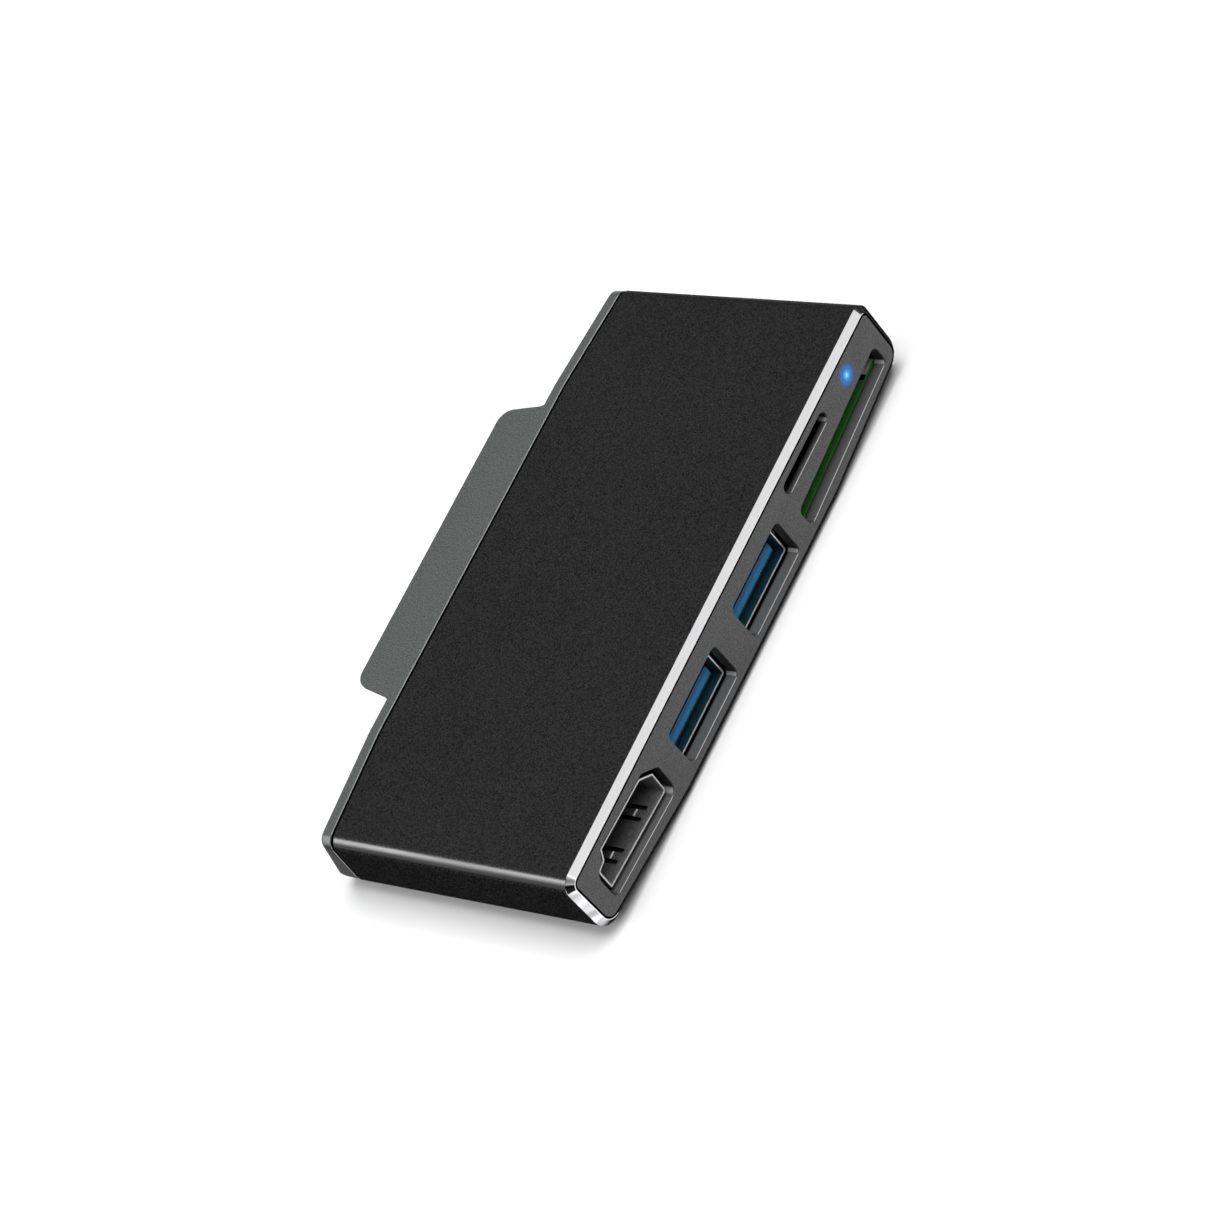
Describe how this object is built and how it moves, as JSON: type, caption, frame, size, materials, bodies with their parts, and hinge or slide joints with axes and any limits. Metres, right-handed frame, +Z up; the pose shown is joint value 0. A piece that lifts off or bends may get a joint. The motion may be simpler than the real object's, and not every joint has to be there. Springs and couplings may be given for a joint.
{
  "type": "usb hub",
  "caption": "Side-docking hub for a slim tablet: aluminium sleeve with display, USB and card ports on one long edge and short plugs under a thin tongue on the other.",
  "frame": {"origin": "on the surface the hub lies on, under the middle of the whole object from the port fascia to the tip of the USB plug", "axes": "+X towards the ports, +Y along the length towards the card slots, +Z up"},
  "size_m": [0.057, 0.09, 0.013],
  "materials": {
    "black_anodised": "black anodised, fine bead-blasted grain",
    "bright_cut": "diamond-cut bright chamfer",
    "grey_fascia": "fine matte grain",
    "grey_cap": "satin grey paint",
    "black_plastic": "moulded",
    "white_plastic": "moulded",
    "blue_plastic": "moulded",
    "foam_tape": "foam",
    "circuit_board": "solder mask on glass-fibre laminate",
    "chip_resin": "moulded resin",
    "capacitor_body": "moulded",
    "nickel_plate": "nickel plate",
    "steel": "rolled sheet",
    "spring_steel": "drawn wire",
    "gold_contact": "gold flash",
    "lit_blue": "clear light pipe, lit"
  },
  "bodies": {
    "hub": {"sleeve": "black_anodised", "port_fascia": "grey_fascia", "plug_end_cap": "grey_cap", "board_tray": "black_plastic", "tray_screws": "steel", "main_board": "circuit_board", "sd_board": "circuit_board", "board_link": "black_plastic", "sd_board_tape": "foam_tape", "card_board": "circuit_board", "board_header": "black_plastic", "header_pins": "gold_contact", "card_board_tape": "foam_tape", "hub_chip": "chip_resin", "video_chip": "chip_resin", "reader_chip": "chip_resin", "crystal": "steel", "inductors": "chip_resin", "capacitors": "capacitor_body", "small_passives": "capacitor_body", "hdmi_shell": "nickel_plate", "hdmi_insulator": "black_plastic", "hdmi_contacts": "gold_contact", "usb_port_1_shell": "nickel_plate", "usb_port_1_insulator": "blue_plastic", "usb_port_1_contacts": "gold_contact", "usb_port_2_shell": "nickel_plate", "usb_port_2_insulator": "blue_plastic", "usb_port_2_contacts": "gold_contact", "sd_cover": "steel", "sd_base": "black_plastic", "sd_contacts": "gold_contact", "sd_spring": "spring_steel", "microsd_cover": "steel", "microsd_base": "black_plastic", "microsd_contacts": "gold_contact", "microsd_spring": "spring_steel", "led": "white_plastic", "light_pipe": "lit_blue", "usb_plug_shell": "nickel_plate", "usb_plug_insulator": "blue_plastic", "usb_plug_contacts": "gold_contact", "display_plug_shell": "nickel_plate", "display_plug_insulator": "black_plastic", "display_plug_contacts": "gold_contact"},
    "sd_slider": {"sd_slider": "white_plastic"},
    "microsd_slider": {"microsd_slider": "white_plastic"}
  },
  "joints": [
    {"name": "sd_slide", "type": "slide", "parent": "hub", "child": "sd_slider", "axis": [-1, 0, 0], "range_m": [0, 0.0058], "stiffness_N_per_m": 100, "springref_m": -0.002, "deforming": ["sd_spring"]},
    {"name": "microsd_slide", "type": "slide", "parent": "hub", "child": "microsd_slider", "axis": [-1, 0, 0], "range_m": [0, 0.0025], "stiffness_N_per_m": 100, "springref_m": -0.001, "deforming": ["microsd_spring"]}
  ]
}
